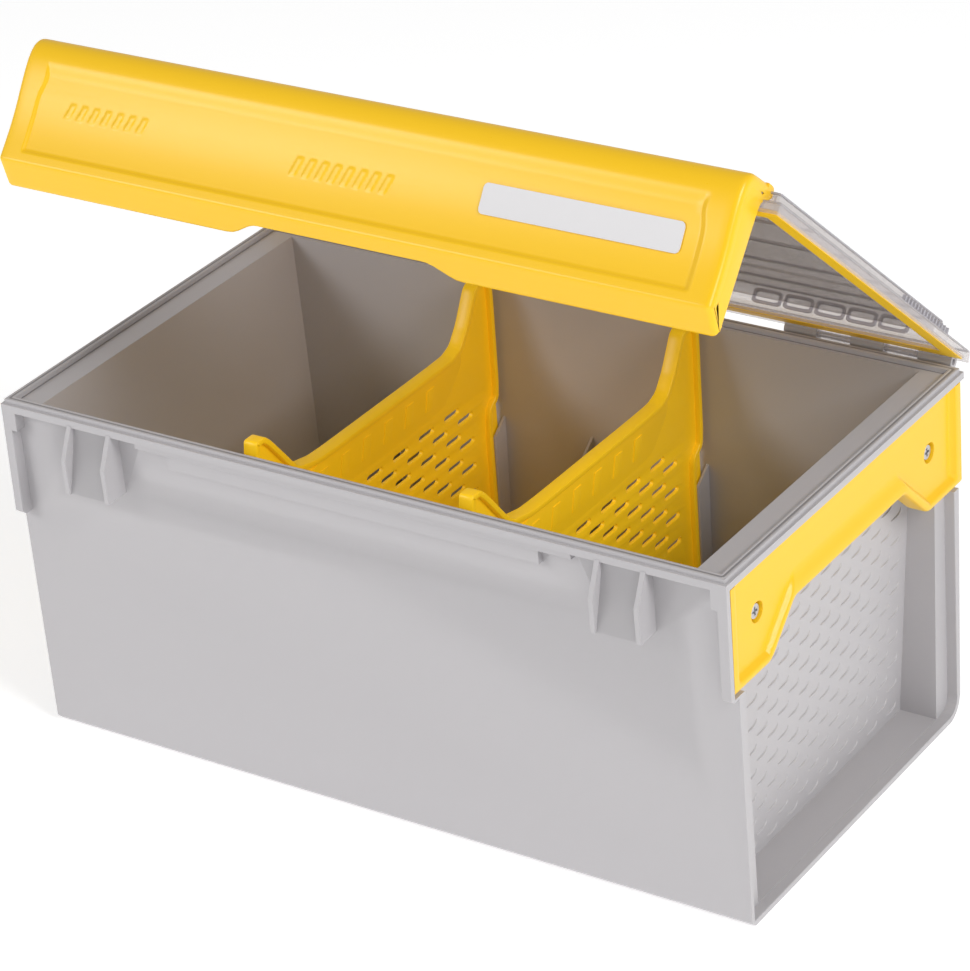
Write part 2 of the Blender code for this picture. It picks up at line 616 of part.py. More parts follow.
def offset_line(points, distance):
    """The open line moved sideways to its inner side, corner by corner."""
    moved = []
    for i, point in enumerate(points):
        before = points[max(i - 1, 0)]
        after = points[min(i + 1, len(points) - 1)]
        first = np.subtract(point, before) if i else np.subtract(after, point)
        second = np.subtract(after, point) if i < len(points) - 1 else first
        first, second = first / np.hypot(*first), second / np.hypot(*second)
        normal = np.array((-(first + second)[1], (first + second)[0]))
        normal /= np.hypot(*normal)
        stretch = max(0.6, float(np.dot(normal, (-first[1], first[0]))))
        moved.append(tuple(np.add(point, normal * distance / stretch)))
    return moved


def make_latch(pivot, surface):
    """A long C-shaped cover. Its end plates carry ears round the pivot, and inner hooks hold the catches."""
    outer = latch_outline()
    inner = offset_line(outer, LATCH_WALL)
    def to_yz(points):
        return [(-p, -q) for p, q in points]
    shell = to_yz(outer + inner[::-1])
    end_in = latchHalf - LATCH_WALL
    cover = place(prism_x(shell, -end_in - 0.0002, end_in + 0.0002), "latch_cover", pivot)
    ear = [(-0.0030, -0.0044), (-0.0078, -0.0042), (-0.0090, -0.0010), (-0.0087, 0.0004), (-0.0012, 0.0043),
           (-0.0005, 0.0080), (-0.0005, LATCH_DROP - 0.0018), (0.0006, LATCH_DROP)]
    plate = to_yz(outer[1:-1][::-1] + ear)
    for side in (-1, 1):
        a, b = mirrored(end_in, latchHalf, side)
        join(cover, prism_x(plate, a, b), pivot)
        cut(cover, rod_x(a - 0.001, b + 0.001, 0, 0, LATCH_PIN_RADIUS + LATCH_PIN_PLAY, 16), pivot)
    hook_top, tip = 0.0460, 0.0042
    hook = to_yz([(LATCH_FACE - LATCH_WALL / 2, hook_top - 0.006), (tip, hook_top), (tip, hook_top + 0.0015),
                  (LATCH_FACE - LATCH_WALL / 2, hook_top + 0.006)])
    for side in (-1, 1):
        x = side * catchX
        join(cover, prism_x(hook, x - HOOK_WIDTH / 2, x + HOOK_WIDTH / 2), pivot)
    recess = 0.0008
    panel = half - 0.0195
    face_line = [(p, q) for p, q in outer if 0.006 < q < 0.05]
    field = [(LATCH_FACE + 0.006, face_line[0][1] - 0.001)] + [(p - recess, q) for p, q in face_line]
    field += [(LATCH_FACE - recess, 0.0465), (LATCH_FACE + 0.006, 0.0465)]
    cut(cover, prism_x(to_yz(field), -panel, panel), pivot)
    notch = [(-0.0490, LATCH_DROP + 0.001), (-0.0420, LATCH_DROP - 0.0042), (0.0420, LATCH_DROP - 0.0042),
             (0.0490, LATCH_DROP + 0.001)]
    cut(cover, loft([[(x, y, -q) for x, q in notch] for y in (-LATCH_FACE - 0.002, 0.004)]), pivot)
    finish(cover, surface)
    return cover


def make_label(pivot, surface):
    """A blank write-on card on the latch cover's face."""
    def face_p(q):
        line = latch_outline()
        return float(np.interp(q, [b for a, b in line[1:-1]], [a for a, b in line[1:-1]]))
    top, foot = LABEL_TOP, LABEL_TOP + LABEL_HEIGHT
    lift = GAP - 0.0008
    middle = 0.0290
    rows = [(face_p(q) + lift, q) for q in (top, middle, foot)]
    outline = [(-p, -q) for p, q in rows] + [(-p - LABEL_THICK, -q) for p, q in rows[::-1]]
    right = latchHalf - LABEL_INSET
    label = place(prism_x(outline, right - LABEL_LENGTH, right), "label_card", pivot)
    finish(label, surface)
    return label


def main():
    for old in list(bpy.data.objects):
        bpy.data.objects.remove(old, do_unlink=True)
    grey = material("grey_polypropylene", GREY, 0.45)
    yellow = material("yellow_polypropylene", YELLOW, 0.40)
    clear = material("clear_lid_plastic", CLEAR, 0.12, alpha=0.35)
    rubber = material("yellow_gasket_rubber", YELLOW, 0.60)
    steel = material("plated_steel", STEEL, 0.30, metallic=1.0)
    paper = material("white_label_card", PAPER, 0.75)

    lid_axis = bpy.data.objects.new("lid_axis", None)
    lid_axis.location = (0, hingeY, HINGE_Z)
    lid_axis.rotation_euler = (-OPEN_ANGLE, 0, 0)
    latch_axis = bpy.data.objects.new("latch_axis", None)
    latch_axis.location = (0, -pivotBack, PIVOT_UP)
    latch_axis.parent = lid_axis
    for empty in (lid_axis, latch_axis):
        bpy.context.scene.collection.objects.link(empty)

    make_tub(grey)
    make_lid(lid_axis, clear)
    make_gasket(lid_axis, rubber)
    make_latch(latch_axis, yellow)
    make_label(latch_axis, paper)
    first, last = knuckle_span(0)[0] + 0.0008, knuckle_span(KNUCKLE_COUNT - 1)[1] - 0.0008
    for side, word in ((-1, "left"), (1, "right")):
        make_grip_plate(f"grip_plate_{word}", side, yellow)
        for y, end in ((-screwY, "front"), (screwY, "rear")):
            make_screw(f"grip_screw_{word}_{end}", side, y, steel)
        a, b = mirrored(first, last, side)
        make_pin(f"hinge_pin_{word}", a, b, hingeY, HINGE_Z, PIN_RADIUS, steel)
        a, b = mirrored(latchHalf - LATCH_WALL - EAR_PLAY - EAR_WIDTH * 0.75, latchHalf - 0.0004, side)
        make_pin(f"latch_pin_{word}", a, b, 0, 0, LATCH_PIN_RADIUS, steel, latch_axis)
        make_divider(f"divider_{word}", side * DIVIDER_X, yellow)


main()
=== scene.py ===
import json
import math

import bmesh
import bpy
import numpy as np
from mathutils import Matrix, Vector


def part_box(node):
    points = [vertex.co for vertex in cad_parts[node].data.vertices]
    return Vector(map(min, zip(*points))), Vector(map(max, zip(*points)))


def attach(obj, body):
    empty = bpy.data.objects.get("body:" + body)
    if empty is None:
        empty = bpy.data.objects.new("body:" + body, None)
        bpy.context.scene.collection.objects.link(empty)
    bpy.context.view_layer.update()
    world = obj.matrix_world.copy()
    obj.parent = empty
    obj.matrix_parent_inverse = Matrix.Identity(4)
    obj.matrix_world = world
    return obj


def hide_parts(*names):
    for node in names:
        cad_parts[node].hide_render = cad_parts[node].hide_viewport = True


# Lidded parts box with a clear lid, a long yellow latch cover, grip plates and two vented dividers.
# Everything is in metres. Shapes of the lid and the latch are worked out in the closed lid's own plane
# (back from the hinge, up from the hinge) and turned open with it.

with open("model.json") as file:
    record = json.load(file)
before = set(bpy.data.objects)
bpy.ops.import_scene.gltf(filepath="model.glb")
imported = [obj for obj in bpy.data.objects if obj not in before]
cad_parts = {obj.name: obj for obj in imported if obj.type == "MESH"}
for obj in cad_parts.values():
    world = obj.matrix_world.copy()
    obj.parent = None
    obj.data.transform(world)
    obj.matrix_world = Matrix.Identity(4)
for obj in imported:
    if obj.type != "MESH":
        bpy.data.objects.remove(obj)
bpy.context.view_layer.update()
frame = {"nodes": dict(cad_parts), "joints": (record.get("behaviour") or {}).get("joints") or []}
mm = 0.001

joints = {joint["name"]: joint for joint in frame["joints"]}
hingeY, hingeZ = joints["lid_hinge"]["pos_m"][1:]
openTurn = math.radians(-joints["lid_hinge"]["range_deg"][0])
pivotY, pivotZ = joints["latch_hinge"]["pos_m"][1:]
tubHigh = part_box("tub")[1]
plateLow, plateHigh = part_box("grip_plate_right")
labelLow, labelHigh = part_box("label_card")
halfLength = tubHigh.x
rimFront = -0.1033  # front edge of the rim
rimTop = 0.1695  # top of the rim's flat band
weldGap = 0.002 * mm  # points nearer than this are one
print("frame loaded,", len(frame["nodes"]), "nodes")


def lidPlace(x, back, up):
    # a point given behind (-) the hinge axis and above the closed lid's hinge plane, turned to the open lid
    y = hingeY + back * math.cos(openTurn) + up * math.sin(openTurn)
    z = hingeZ - back * math.sin(openTurn) + up * math.cos(openTurn)
    return np.stack(np.broadcast_arrays(x, y, z), axis=-1)


def latchPlace(x, forward, down):
    # the latch's own measures, forward and down from its pivot when the lid is closed
    y = pivotY - forward * math.cos(openTurn) - down * math.sin(openTurn)
    z = pivotZ + forward * math.sin(openTurn) - down * math.cos(openTurn)
    return np.stack(np.broadcast_arrays(x, y, z), axis=-1)


def softStep(low, high, value):
    # 0 below low, 1 above high, a smooth S between
    t = np.clip((value - low) / (high - low), 0, 1)
    return t * t * (3 - 2 * t)


def roundedRing(halfX, halfY, radius, perCorner=8):
    # a rectangle with round corners as one closed line
    turn = np.linspace(0, np.pi / 2, perCorner)
    quarter = np.stack([np.cos(turn), np.sin(turn)], axis=1) * radius
    signs = ((1, 1), (-1, 1), (-1, -1), (1, -1))
    parts = []
    for k, (sx, sy) in enumerate(signs):
        part = quarter * (sx, sy) + (sx * (halfX - radius), sy * (halfY - radius))
        parts.append(part if k % 2 == 0 else part[::-1])
    return np.vstack(parts)


def cutCorners(points, times=3, closed=False, share=0.25):
    # each corner is cut at a quarter of its two sides, several times over, which rounds the line
    points = np.asarray(points, float)
    for _ in range(times):
        ahead = np.roll(points, -1, axis=0) if closed else points[1:]
        here = points if closed else points[:-1]
        pair = np.stack([here + (ahead - here) * share, ahead - (ahead - here) * share], axis=1)
        pair = pair.reshape(-1, points.shape[1])
        points = pair if closed else np.vstack([points[:1], pair, points[-1:]])
    return points


def alongLine(points, count):
    # the line sampled again at even spacing
    reach = np.concatenate([[0], np.cumsum(np.linalg.norm(np.diff(points, axis=0), axis=1))])
    at = np.linspace(0, reach[-1], count)
    return np.stack([np.interp(at, reach, points[:, k]) for k in range(points.shape[1])], axis=1)


def meshPiece(name, points, faces, smooth=True, closed=True):
    mesh = bpy.data.meshes.new(name)
    mesh.from_pydata(np.asarray(points).reshape(-1, 3), [], [list(map(int, f)) for f in faces])
    made = bpy.data.objects.new(name, mesh)
    bpy.context.scene.collection.objects.link(made)
    if closed:
        work = bmesh.new()
        work.from_mesh(mesh)
        bmesh.ops.remove_doubles(work, verts=work.verts, dist=weldGap)
        bmesh.ops.recalc_face_normals(work, faces=work.faces)
        work.to_mesh(mesh)
        work.free()
    if smooth:
        mesh.shade_smooth()
        mesh.set_sharp_from_angle(angle=math.radians(smooth if smooth is not True else 40))
    return made


def gridFaces(rows, columns, loopRows=False, loopColumns=False, start=0):
    # quads of a grid of points numbered row by row, joined round where a side is a loop
    r = np.arange(rows if loopRows else rows - 1)
    c = np.arange(columns if loopColumns else columns - 1)
    i, j = [a.ravel() for a in np.meshgrid(r, c, indexing="ij")]
    k, l = (i + 1) % rows, (j + 1) % columns
    return start + np.stack([i * columns + j, k * columns + j, k * columns + l, i * columns + l], axis=1)


def sweptPiece(name, sections, smooth=True, loop=False):
    # rings of points, one row each, skinned into a tube; the two ends are capped unless it is a loop
    sections = np.asarray(sections)
    rows, columns = sections.shape[:2]
    faces = [tuple(f) for f in gridFaces(rows, columns, loopRows=loop, loopColumns=True)]
    if not loop:
        faces += [tuple(range(columns))[::-1], tuple(range((rows - 1) * columns, rows * columns))]
    return meshPiece(name, sections, faces, smooth)


def flatPiece(name, loops, place, low, high, edge=0.3 * mm, steps=2):
    # outlines in a plane, the first the outer one and the rest holes, given a thickness from low to high
    # and a rounded edge; place turns (a, b, height) arrays into the row frame
    curve = bpy.data.curves.new(name, "CURVE")
    curve.dimensions, curve.fill_mode = "2D", "BOTH"
    curve.extrude = abs(high - low) / 2 - edge
    curve.bevel_depth, curve.bevel_resolution, curve.offset = edge, steps, -edge
    for loop in loops:
        loop = np.asarray(loop)
        line = curve.splines.new("POLY")
        line.points.add(len(loop) - 1)
        line.points.foreach_set("co", np.c_[loop, np.zeros(len(loop)), np.ones(len(loop))].ravel())
        line.use_cyclic_u = True
    holder = bpy.data.objects.new(name, curve)
    bpy.context.scene.collection.objects.link(holder)
    mesh = bpy.data.meshes.new_from_object(holder.evaluated_get(bpy.context.evaluated_depsgraph_get()))
    bpy.data.objects.remove(holder)
    co = np.empty(len(mesh.vertices) * 3)
    mesh.vertices.foreach_get("co", co)
    co = co.reshape(-1, 3)
    placed = place(co[:, 0], co[:, 1], co[:, 2] + (low + high) / 2)
    faces = [tuple(p.vertices) for p in mesh.polygons]
    return meshPiece(name, placed, faces, smooth=35)


def finishPiece(piece, body, slot, surface, *nodes):
    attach(piece, body)
    piece.data.materials.clear()
    piece.data.materials.append(surface)
    if nodes:
        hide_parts(*nodes)
    return piece


def newGroup(name, inputs, outputs):
    group = bpy.data.node_groups.new(name, "ShaderNodeTree")
    for label, kind, value in inputs:
        made = group.interface.new_socket(name=label, in_out="INPUT", socket_type=kind)
        made.default_value = value
    for label, kind in outputs:
        group.interface.new_socket(name=label, in_out="OUTPUT", socket_type=kind)
    return group, group.nodes.new("NodeGroupInput"), group.nodes.new("NodeGroupOutput")


def mouldedSkinGroup():
    # moulded plastic: spark-eroded grain, faint flow streaks, colour that drifts a little and hairline scuffs
    group, given, out = newGroup(
        "mouldedSkin",
        [("Colour", "NodeSocketColor", (0.5, 0.5, 0.5, 1)), ("Drift", "NodeSocketFloat", 0.05),
         ("Grain", "NodeSocketFloat", 1.0), ("Gloss", "NodeSocketFloat", 0.45),
         ("Scuffs", "NodeSocketFloat", 0.3)],
        [("Colour", "NodeSocketColor"), ("Roughness", "NodeSocketFloat"), ("Height", "NodeSocketFloat")])
    nodes, links = group.nodes, group.links
    place = nodes.new("ShaderNodeTexCoord")
    def noise(scale, detail, stretch=None):
        made = nodes.new("ShaderNodeTexNoise")
        made.inputs["Scale"].default_value, made.inputs["Detail"].default_value = scale, detail
        if stretch:
            turn = nodes.new("ShaderNodeMapping")
            turn.inputs["Scale"].default_value = stretch
            links.new(place.outputs["Object"], turn.inputs["Vector"])
            links.new(turn.outputs["Vector"], made.inputs["Vector"])
        else:
            links.new(place.outputs["Object"], made.inputs["Vector"])
        return made.outputs["Fac"]
    def sums(kind, a, b):
        made = nodes.new("ShaderNodeMath")
        made.operation = kind
        for socket, value in zip(made.inputs, (a, b)):
            if isinstance(value, (int, float)):
                socket.default_value = value
            else:
                links.new(value, socket)
        return made.outputs[0]
    broad, streak = noise(9, 2), noise(40, 3, (0.15, 1, 1))
    fine, pebble = noise(2600, 1), noise(900, 2)
    scratch = noise(700, 2, (0.04, 1, 1.6))
    darker = nodes.new("ShaderNodeHueSaturation")
    darker.inputs["Value"].default_value, darker.inputs["Saturation"].default_value = 0.82, 1.06
    links.new(given.outputs["Colour"], darker.inputs["Color"])
    blend = nodes.new("ShaderNodeMix")
    blend.data_type = "RGBA"
    amount = sums("MULTIPLY", sums("ADD", broad, sums("MULTIPLY", streak, 0.5)), given.outputs["Drift"])
    links.new(amount, blend.inputs["Factor"])
    links.new(given.outputs["Colour"], blend.inputs["A"])
    links.new(darker.outputs["Color"], blend.inputs["B"])
    links.new(blend.outputs["Result"], out.inputs["Colour"])
    thin = nodes.new("ShaderNodeMapRange")
    thin.inputs["From Min"].default_value, thin.inputs["From Max"].default_value = 0.62, 0.70
    links.new(scratch, thin.inputs["Value"])
    scuff = sums("MULTIPLY", thin.outputs["Result"], given.outputs["Scuffs"])
    rough = sums("ADD", given.outputs["Gloss"], sums("MULTIPLY", sums("SUBTRACT", pebble, 0.5), 0.10))
    rough = sums("ADD", rough, sums("MULTIPLY", scuff, 0.12))
    links.new(rough, out.inputs["Roughness"])
    height = sums("ADD", sums("MULTIPLY", fine, 0.5), pebble)
    height = sums("MULTIPLY", height, given.outputs["Grain"])
    height = sums("SUBTRACT", height, sums("MULTIPLY", scuff, 0.4))
    links.new(height, out.inputs["Height"])
    return group


mouldedSkin = mouldedSkinGroup()


def mouldedPlastic(name, colour, gloss=0.45, grain=1.0, drift=0.10, scuffs=0.3, glow=0.0):
    made = bpy.data.materials.new(name)
    made.use_nodes = True
    nodes, links = made.node_tree.nodes, made.node_tree.links
    shader = nodes["Principled BSDF"]
    skin = nodes.new("ShaderNodeGroup")
    skin.node_tree = mouldedSkin
    given = {"Colour": (*colour, 1), "Drift": drift, "Grain": grain, "Gloss": gloss, "Scuffs": scuffs}
    for label, value in given.items():
        skin.inputs[label].default_value = value
    bump = nodes.new("ShaderNodeBump")
    bump.inputs["Distance"].default_value = 0.012 * mm  # depth of the grain
    bump.inputs["Strength"].default_value = 0.6
    links.new(skin.outputs["Colour"], shader.inputs["Base Color"])
    links.new(skin.outputs["Roughness"], shader.inputs["Roughness"])
    links.new(skin.outputs["Height"], bump.inputs["Height"])
    links.new(bump.outputs["Normal"], shader.inputs["Normal"])
    shader.inputs["IOR"].default_value = 1.49
    shader.inputs["Specular IOR Level"].default_value = 0.4
    if glow:  # painted light: the part glows a little, lightening it where the box's walls keep the lamps' light off it
        shader.inputs["Emission Color"].default_value = (*colour, 1)
        shader.inputs["Emission Strength"].default_value = glow
    made.diffuse_color = (*colour, 1)
    return made


def clearPlastic(name, tint, through, clearness):
    # clear moulded plastic, a little hazy; shadow rays pass through it so that the box under it stays lit
    made = bpy.data.materials.new(name)
    made.use_nodes = True
    nodes, links = made.node_tree.nodes, made.node_tree.links
    shader = nodes["Principled BSDF"]
    shader.inputs["Base Color"].default_value = (*tint, 1)
    shader.inputs["Transmission Weight"].default_value = through
    shader.inputs["IOR"].default_value = 1.45
    place = nodes.new("ShaderNodeTexCoord")
    haze = nodes.new("ShaderNodeTexNoise")
    haze.inputs["Scale"].default_value, haze.inputs["Detail"].default_value = 30, 3
    smear = nodes.new("ShaderNodeMapRange")
    smear.inputs["To Min"].default_value, smear.inputs["To Max"].default_value = 0.06, 0.16
    clear = nodes.new("ShaderNodeBsdfTransparent")
    clear.inputs["Color"].default_value = (0.87, 0.85, 0.84, 1)
    ray, mix = nodes.new("ShaderNodeLightPath"), nodes.new("ShaderNodeMixShader")
    passing = nodes.new("ShaderNodeMath")
    passing.operation = "MAXIMUM"
    passing.inputs[1].default_value = clearness
    links.new(place.outputs["Object"], haze.inputs["Vector"])
    links.new(haze.outputs["Fac"], smear.inputs["Value"])
    links.new(smear.outputs["Result"], shader.inputs["Roughness"])
    links.new(ray.outputs["Is Shadow Ray"], passing.inputs[0])
    links.new(passing.outputs[0], mix.inputs["Fac"])
    links.new(shader.outputs["BSDF"], mix.inputs[1])
    links.new(clear.outputs["BSDF"], mix.inputs[2])
    links.new(mix.outputs["Shader"], nodes["Material Output"].inputs["Surface"])
    return made


def platedSteel(name):
    made = bpy.data.materials.new(name)
    made.use_nodes = True
    nodes, links = made.node_tree.nodes, made.node_tree.links
    shader = nodes["Principled BSDF"]
    shader.inputs["Metallic"].default_value = 1.0
    place = nodes.new("ShaderNodeTexCoord")
    fine = nodes.new("ShaderNodeTexNoise")
    fine.inputs["Scale"].default_value, fine.inputs["Detail"].default_value = 1200, 4
    tone = nodes.new("ShaderNodeValToRGB")
    tone.color_ramp.elements[0].color = (0.42, 0.42, 0.45, 1)
    tone.color_ramp.elements[1].color = (0.72, 0.72, 0.74, 1)
    rough = nodes.new("ShaderNodeMapRange")
    rough.inputs["To Min"].default_value, rough.inputs["To Max"].default_value = 0.22, 0.42
    links.new(place.outputs["Object"], fine.inputs["Vector"])
    links.new(fine.outputs["Fac"], tone.inputs["Fac"])
    links.new(fine.outputs["Fac"], rough.inputs["Value"])
    links.new(tone.outputs["Color"], shader.inputs["Base Color"])
    links.new(rough.outputs["Result"], shader.inputs["Roughness"])
    return made


greyPlastic = mouldedPlastic("greyPolypropylene", (0.49, 0.475, 0.488), gloss=0.36)
# dark grey for the strips that paint shade into the rim's grooves
shadeLineGrey = mouldedPlastic("greyPaintedShadeLine", (0.27, 0.26, 0.27), gloss=0.6, grain=0.4, drift=0.05, scuffs=0)
yellowPlastic = mouldedPlastic("yellowPolypropylene", (0.95, 0.570, 0.014), gloss=0.30, grain=0.18,
                               drift=0.08)
# the dividers carry a painted glow that lightens their shaded sides
glowingDividerPlastic = mouldedPlastic("yellowDividerPaintedGlow", (0.98, 0.60, 0.012), gloss=0.33, grain=0.18, drift=0.06,
                                glow=0.13)
gasketRubber = mouldedPlastic("yellowGasketRubber", (0.95, 0.60, 0.01), gloss=0.5, grain=0.4, scuffs=0)
cardSurface = mouldedPlastic("blankLabelCard", (0.74, 0.73, 0.74), gloss=0.7, grain=1.4, drift=0.05, scuffs=0)
clearLid = clearPlastic("clearLid", (0.80, 0.78, 0.80), 0.35, 0.64)
lidRelief = clearPlastic("clearLidRelief", (0.50, 0.49, 0.53), 0.30, 0.20)
pinSteel = platedSteel("platedSteel")
print("materials made")


# Shapes taken over from the frame: welded, flats joined up, long edges softened where there is room.
# Known fault: on the lid panel this leaves a stray flat face over half of its open underside.

shortestSoft = 22 * mm  # shorter edges stay crisp


def roomAt(edge, width):
    # whether this is a long outward edge with plain corners and faces that leave room for this rounding
    if edge.calc_length() < shortestSoft or not edge.is_convex:
        return False
    if any(len(v.link_edges) != 3 for v in edge.verts):
        return False
    for loop in edge.link_loops:
        for near in (loop.link_loop_next, loop.link_loop_prev):
            if near.edge.calc_length() < 2.4 * width:
                return False
    return True


def softCopy(name, body, slot, surface, width, steps=1, turn=30, crisp=19):
    work = bmesh.new()
    work.from_mesh(frame["nodes"][name].data)
    bmesh.ops.remove_doubles(work, verts=work.verts, dist=weldGap)
    bmesh.ops.dissolve_limit(work, angle_limit=math.radians(0.6), verts=work.verts, edges=work.edges)
    sharp = [e for e in work.edges if len(e.link_faces) == 2 and e.calc_face_angle() > math.radians(turn)]
    chosen = [e for e in sharp if roomAt(e, width)]
    bmesh.ops.bevel(work, geom=chosen, offset=width, offset_type="OFFSET", segments=steps, profile=0.5,
                    affect="EDGES", clamp_overlap=True)
    bmesh.ops.recalc_face_normals(work, faces=work.faces)
    mesh = bpy.data.meshes.new(f"{name}_soft")
    work.to_mesh(mesh)
    print(name, "edges", len(sharp), "softened", len(chosen), "volume", round(work.calc_volume() * 1e6, 2))
    work.free()
    mesh.shade_smooth()
    mesh.set_sharp_from_angle(angle=math.radians(crisp))
    made = bpy.data.objects.new(f"{name}_soft", mesh)
    bpy.context.scene.collection.objects.link(made)
    return finishPiece(made, body, slot, surface, name)


softCopy("tub", "tub", "tub", greyPlastic, 0.4 * mm, crisp=6)
softCopy("lid_panel", "lid", "lid", clearLid, 0.25 * mm)
softCopy("lid_gasket", "lid", "gasket", gasketRubber, 0.5 * mm)
for side in ("left", "right"):
    softCopy(f"hinge_pin_{side}", "tub", "steel", pinSteel, 0.3 * mm)
    softCopy(f"latch_pin_{side}", "lid", "steel", pinSteel, 0.2 * mm)
    for end in ("front", "rear"):
        softCopy(f"grip_screw_{side}_{end}", "tub", "steel", pinSteel, 0.2 * mm)
print("frame shapes finished")


cover = {"halfLength": 0.1770, "wall": 2.0 * mm, "endPlate": 2.2 * mm, "endRound": 2.8 * mm,
         "panelHalf": 0.1660, "panelTop": 7.0 * mm, "panelFoot": 47.8 * mm, "panelDepth": 1.1 * mm,
         "notchHalf": 0.0415, "notchFade": 17 * mm, "notchCut": 7.2 * mm, "catchX": 0.1358,
         "pinHole": 1.35 * mm, "hookHalf": 7 * mm}


def coverSection():
    # outer section as (forward, down) in mm: flat top, round brow, gently hollow face, crease, slanted lip
    brow = cutCorners([(-3.0, -4.3), (5.0, -4.2), (10.8, -3.9), (14.4, -0.8), (15.9, 4.2), (15.9, 10.5),
                       (15.0, 19.0), (13.6, 28.5), (12.9, 38.0), (12.9, 50.6)], 3)
    crease = cutCorners([(12.9, 50.6), (12.9, 52.4), (11.4, 53.5)], 2)
    lip = cutCorners([(11.4, 53.5), (1.8, 60.0), (0.6, 60.6), (-0.3, 60.2)], 2)
    return [alongLine(part * mm, count) for part, count in ((brow, 100), (crease, 7), (lip, 20))]


def faceForward(down):
    # how far forward the cover's face is at each height
    line = coverSection()[0]
    below = line[line[:, 1] > -0.002]
    return np.interp(down, below[:, 1], below[:, 0])


def coverMarks(x, down):
    # plain slanted dashes in two places on the face, where a maker would put a number and a name
    lean = x + (down - 27 * mm) * 0.35
    def dashes(middle, count, pitch, width, top, foot):
        near = lean - middle
        cell = np.mod(near + pitch * count / 2, pitch) - pitch / 2
        inside = (np.abs(near) < pitch * count / 2) * softStep(0, 0.5 * mm, width / 2 - np.abs(cell))
        return inside * softStep(0, 0.5 * mm, down - top) * softStep(0, 0.5 * mm, foot - down)
    left = dashes(-0.128, 7, 6.4 * mm, 3.4 * mm, 23 * mm, 30 * mm)
    return left + dashes(-0.004, 8, 6.4 * mm, 3.6 * mm, 26 * mm, 34 * mm)


def makeLatchCover():
    # surface of (x, distance along the section): the section carried along X, sunk along its own normal by
    # the face panel and raised by the dashes, its lip drawn up in the middle as a finger notch; an inner copy
    # makes the wall
    brow, crease, lip = coverSection()
    line = np.vstack([brow, crease[1:], lip[1:]])
    ahead = np.gradient(line, axis=0)
    ahead /= np.linalg.norm(ahead, axis=1)[:, None]
    outward = np.stack([ahead[:, 1], -ahead[:, 0]], axis=1)
    inner = line - outward * cover["wall"]
    end = cover["halfLength"] - cover["endRound"]
    fine = [np.arange(-0.152, -0.1035, 0.7 * mm), np.arange(-0.041, 0.034, 0.7 * mm),
            np.arange(-cover["panelHalf"] - 1 * mm, -cover["panelHalf"] + 5 * mm, 0.5 * mm)]
    x = np.unique(np.round(np.concatenate([np.linspace(-end, end, 110), *fine, -fine[2]]), 5))
    bend = np.linspace(0, np.pi / 2, 7)[1:]
    beyond = cover["endRound"] * np.sin(bend)
    x = np.concatenate([-end - beyond[::-1], x, end + beyond])
    roundOff = cover["endRound"] * (1 - np.cos(bend))
    roundOff = np.concatenate([roundOff[::-1], np.zeros(len(x) - 2 * len(bend)), roundOff])[:, None]
    across, down = x[:, None], line[None, :, 1]
    face = softStep(0.001, 0.004, line[None, :, 0])
    pinch = 2.0 * mm * np.exp(-((down - 14 * mm) / (6 * mm)) ** 2)
    sink = softStep(0, np.where(across < 0, 1.3 * mm, 3.4 * mm), cover["panelHalf"] - pinch - np.abs(across))
    sink = sink * softStep(cover["panelTop"], cover["panelTop"] + 7 * mm, down)
    sink = sink * softStep(0, 1.5 * mm, cover["panelFoot"] - down)
    sink = (cover["panelDepth"] * sink - 0.28 * mm * coverMarks(across, down)) * face
    start = len(brow) + len(crease) - 2
    lipWay = np.clip(np.arange(len(line)) - start, 0, None)[None, :] / (len(line) - 1 - start)
    length = np.linalg.norm(line[-1] - line[start])
    notch = softStep(cover["notchHalf"] + cover["notchFade"], cover["notchHalf"], np.abs(across))
    cut = 1 - cover["notchCut"] / length * notch
    def shaped(flat, depth):
        root = flat[start]
        moved = np.where(lipWay[..., None] > 0, root + (flat - root) * cut[..., None], flat[None])
        moved = moved - outward * depth[..., None]
        return latchPlace(across, moved[..., 0], moved[..., 1])
    outside, inside = shaped(line, sink + roundOff), shaped(inner, roundOff + 0 * sink)
    shell = sweptPiece("latch_cover_shell", np.concatenate([outside, inside[:, ::-1]], axis=1), smooth=50)
    finishPiece(shell, "latch", "yellow", yellowPlastic, "latch_cover")
    ear = cutCorners([(-3.0, -4.3), (-7.9, -4.2), (-9.0, -1.4), (-8.7, 0.4), (-5.0, 2.7), (-1.2, 4.3),
                      (-0.5, 8.0)], 2)
    rim = line - outward * (cover["endRound"] - 0.1 * mm)
    lipPart = rim[(rim[:, 1] > 52.0 * mm) & (rim[:, 0] > 1.0 * mm)]
    plainCorner = [(10.1 * mm, 51.0 * mm)]  # stands in for the crease, where the inset line would cross itself
    rim = np.vstack([rim[rim[:, 1] < 49.0 * mm], plainCorner, lipPart])
    rear = np.array([(-0.5, 58.0), (-0.5, 20.0)])
    outline = np.vstack([rim, rear * mm, ear[::-1] * mm])
    turn = np.linspace(0, 2 * np.pi, 24, endpoint=False)
    hole = np.stack([cover["pinHole"] * np.cos(turn), cover["pinHole"] * np.sin(turn)], axis=1)
    for side, word in ((-1, "left"), (1, "right")):
        plate = flatPiece(f"latch_cover_end_{word}", [outline, hole],
                          lambda a, b, h, s=side: latchPlace(s * h, a, b),
                          cover["halfLength"] - cover["endPlate"], cover["halfLength"] - 0.03 * mm)
        finishPiece(plate, "latch", "yellow", yellowPlastic)
        middle = side * cover["catchX"]
        hook = np.array([(11.2, 39.5), (4.2, 46.0), (4.2, 47.5), (11.2, 50.5)]) * mm
        hook = flatPiece(f"latch_hook_{word}", [hook], lambda a, b, h: latchPlace(h, a, b),
                         middle - cover["hookHalf"], middle + cover["hookHalf"])
        finishPiece(hook, "latch", "yellow", yellowPlastic)


card = {"long": 0.0933, "tall": 12.8 * mm, "corner": 2.2 * mm, "down": 27.6 * mm, "thick": 0.45 * mm}


